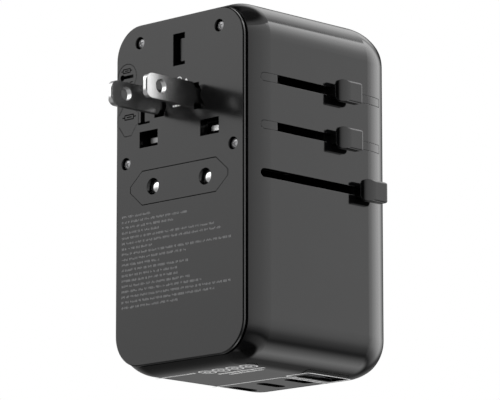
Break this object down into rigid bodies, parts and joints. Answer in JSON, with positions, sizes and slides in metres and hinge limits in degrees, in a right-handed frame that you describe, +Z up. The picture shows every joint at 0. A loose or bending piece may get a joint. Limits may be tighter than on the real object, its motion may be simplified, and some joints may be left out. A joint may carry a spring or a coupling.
{
  "type": "universal travel adapter",
  "caption": "Tall box-shaped travel adapter with sliding UK, US/AU and EU plug sets, side knobs, USB ports underneath, fuses and a rear outlet.",
  "frame": {"origin": "centre of the housing underside, halfway between the plug face and the outlet face", "axes": "+Z up along the housing height, -Y out of the plug face, +X towards the side with the three knobs"},
  "size_m": [0.0544, 0.0731, 0.0942],
  "materials": {
    "shell_plastic": "dark grey, fine satin gloss",
    "inner_plastic": "dark grey engineering plastic",
    "carriage_plastic": "black glass-filled plastic",
    "slider_plastic": "black low-friction plastic",
    "sleeve_plastic": "black insulating sleeve",
    "nickel": "polished nickel plate",
    "brass": "satin brass",
    "screw_steel": "zinc plated steel",
    "fuse_ceramic": "glazed off-white",
    "board_green": "solder-mask green",
    "port_white": "white tongue",
    "port_black": "black tongue",
    "ferrite": "sintered dark grey",
    "coil_tape": "yellow insulating tape",
    "can_blue": "sleeved can",
    "shutter_grey": "grey shutter"
  },
  "bodies": {
    "body": {"housing": "shell_plastic", "plug_plate": "shell_plastic", "inner_frame": "inner_plastic", "plate_screws": "screw_steel", "us_slot_key_front": "shell_plastic", "uk_slot_key_front": "shell_plastic", "us_slot_key_rear": "shell_plastic", "uk_slot_key_rear": "shell_plastic", "eu_slot_key_rear": "shell_plastic", "fuse_holder": "carriage_plastic", "fuse_body": "fuse_ceramic", "fuse_end_caps": "nickel", "outlet_cover": "shell_plastic", "contact_carrier": "inner_plastic", "contact_live": "brass", "contact_neutral": "brass", "contact_earth": "brass", "live_strip": "brass", "neutral_strip": "brass", "port_board": "board_green", "power_board": "board_green", "usb_a_shell": "nickel", "usb_a_tongue": "port_white", "usb_c_shell_1": "nickel", "usb_c_shell_2": "nickel", "usb_c_shell_3": "nickel", "usb_c_tongue_1": "port_black", "usb_c_tongue_2": "port_black", "usb_c_tongue_3": "port_black", "transformer_core": "ferrite", "transformer_coil": "coil_tape", "bulk_capacitor": "can_blue", "filter_capacitor": "can_blue"},
    "us_slider": {"us_knob": "shell_plastic", "us_slide_bar": "slider_plastic"},
    "us_set": {"us_carriage": "carriage_plastic"},
    "blade_l": {"blade_left": "nickel"},
    "blade_r": {"blade_right": "nickel"},
    "uk_set": {"uk_knob": "shell_plastic", "uk_slide_bar": "slider_plastic", "uk_carriage": "carriage_plastic", "uk_live_pin": "nickel", "uk_neutral_pin": "nickel", "uk_earth_pin": "shell_plastic", "uk_pin_sleeves": "sleeve_plastic"},
    "eu_set": {"eu_knob": "shell_plastic", "eu_slide_bar": "slider_plastic", "eu_carriage": "carriage_plastic", "eu_pin_left": "nickel", "eu_pin_right": "nickel", "eu_pin_sleeves": "sleeve_plastic"},
    "eu_nose": {"eu_block": "shell_plastic"},
    "fuse_door": {"fuse_cover": "shell_plastic"},
    "spare_drawer": {"spare_fuse_drawer": "shell_plastic", "spare_fuse": "fuse_ceramic"},
    "shutter": {"outlet_shutter": "shutter_grey"}
  },
  "joints": [
    {"name": "us_slider_push", "type": "slide", "parent": "body", "child": "us_slider", "axis": [0, -1, 0], "range_m": [0, 0.0201], "stiffness_N_per_m": 20, "springref_m": -0.01},
    {"name": "us_blades_retract", "type": "slide", "parent": "body", "child": "us_set", "axis": [0, 1, 0], "range_m": [0, 0.0201]},
    {"name": "blade_left_twist", "type": "hinge", "parent": "us_set", "child": "blade_l", "pos_m": [-0.00635, -0.0272, 0.0701], "axis": [0, 1, 0], "range_deg": [0, 30]},
    {"name": "blade_right_twist", "type": "hinge", "parent": "us_set", "child": "blade_r", "pos_m": [0.00635, -0.0272, 0.0701], "axis": [0, 1, 0], "range_deg": [-30, 0]},
    {"name": "uk_slide", "type": "slide", "parent": "body", "child": "uk_set", "axis": [0, -1, 0], "range_m": [0, 0.0203]},
    {"name": "eu_slide", "type": "slide", "parent": "body", "child": "eu_set", "axis": [0, -1, 0], "range_m": [0, 0.0365]},
    {"name": "eu_block_follow", "type": "slide", "parent": "body", "child": "eu_nose", "axis": [0, -1, 0], "range_m": [0, 0.0173]},
    {"name": "fuse_cover_pull", "type": "slide", "parent": "body", "child": "fuse_door", "axis": [0, -1, 0], "range_m": [0, 0.01]},
    {"name": "spare_drawer_pull", "type": "slide", "parent": "body", "child": "spare_drawer", "axis": [0, -1, 0], "range_m": [0, 0.02]},
    {"name": "outlet_shutter_open", "type": "slide", "parent": "body", "child": "shutter", "axis": [0, 0, -1], "range_m": [0, 0.008], "stiffness_N_per_m": 30, "springref_m": -0.004}
  ],
  "couplings": [
    {"joint": "blade_right_twist", "follows": "blade_left_twist", "ratio": -1},
    {"joint": "eu_block_follow", "follows": "eu_slide", "ratio": 0.47123}
  ]
}
